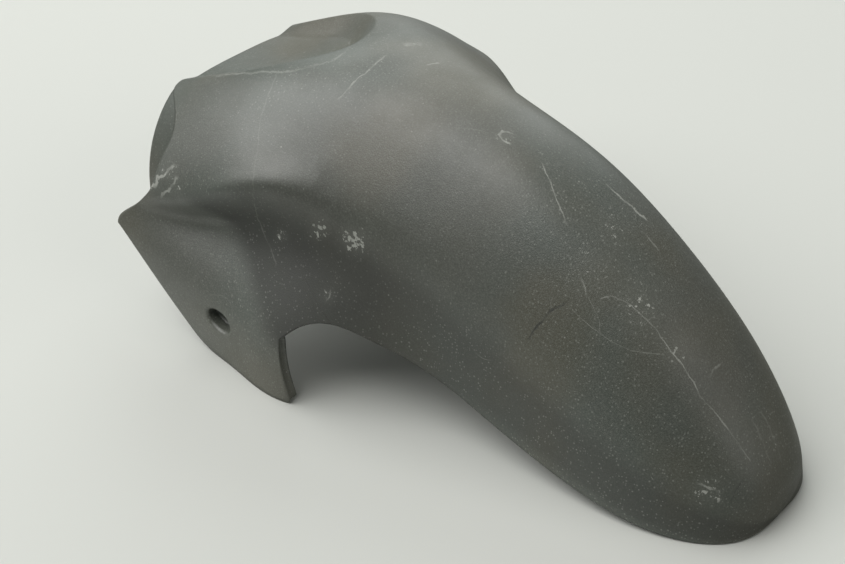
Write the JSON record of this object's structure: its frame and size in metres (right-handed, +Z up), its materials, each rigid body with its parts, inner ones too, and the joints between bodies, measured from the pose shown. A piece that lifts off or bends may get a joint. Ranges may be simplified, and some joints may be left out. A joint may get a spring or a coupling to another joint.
{
  "type": "motorcycle front mudguard",
  "caption": "Moulded front mudguard shell with a domed nose, a scoop for the steering stem, fork recesses and flared ears with recessed bolt seats.",
  "frame": {"origin": "on the ground under the middle of the overall length, with the part lying on its two ear toes and its nose rim", "axes": "+X forward along the bike to the nose, +Y to the rider's left, +Z up"},
  "size_m": [0.465, 0.2666, 0.1958],
  "materials": {
    "shell_plastic": "grained, satin, scratched and scuffed"
  },
  "bodies": {
    "root": {"mudguard": "shell_plastic"}
  },
  "joints": []
}
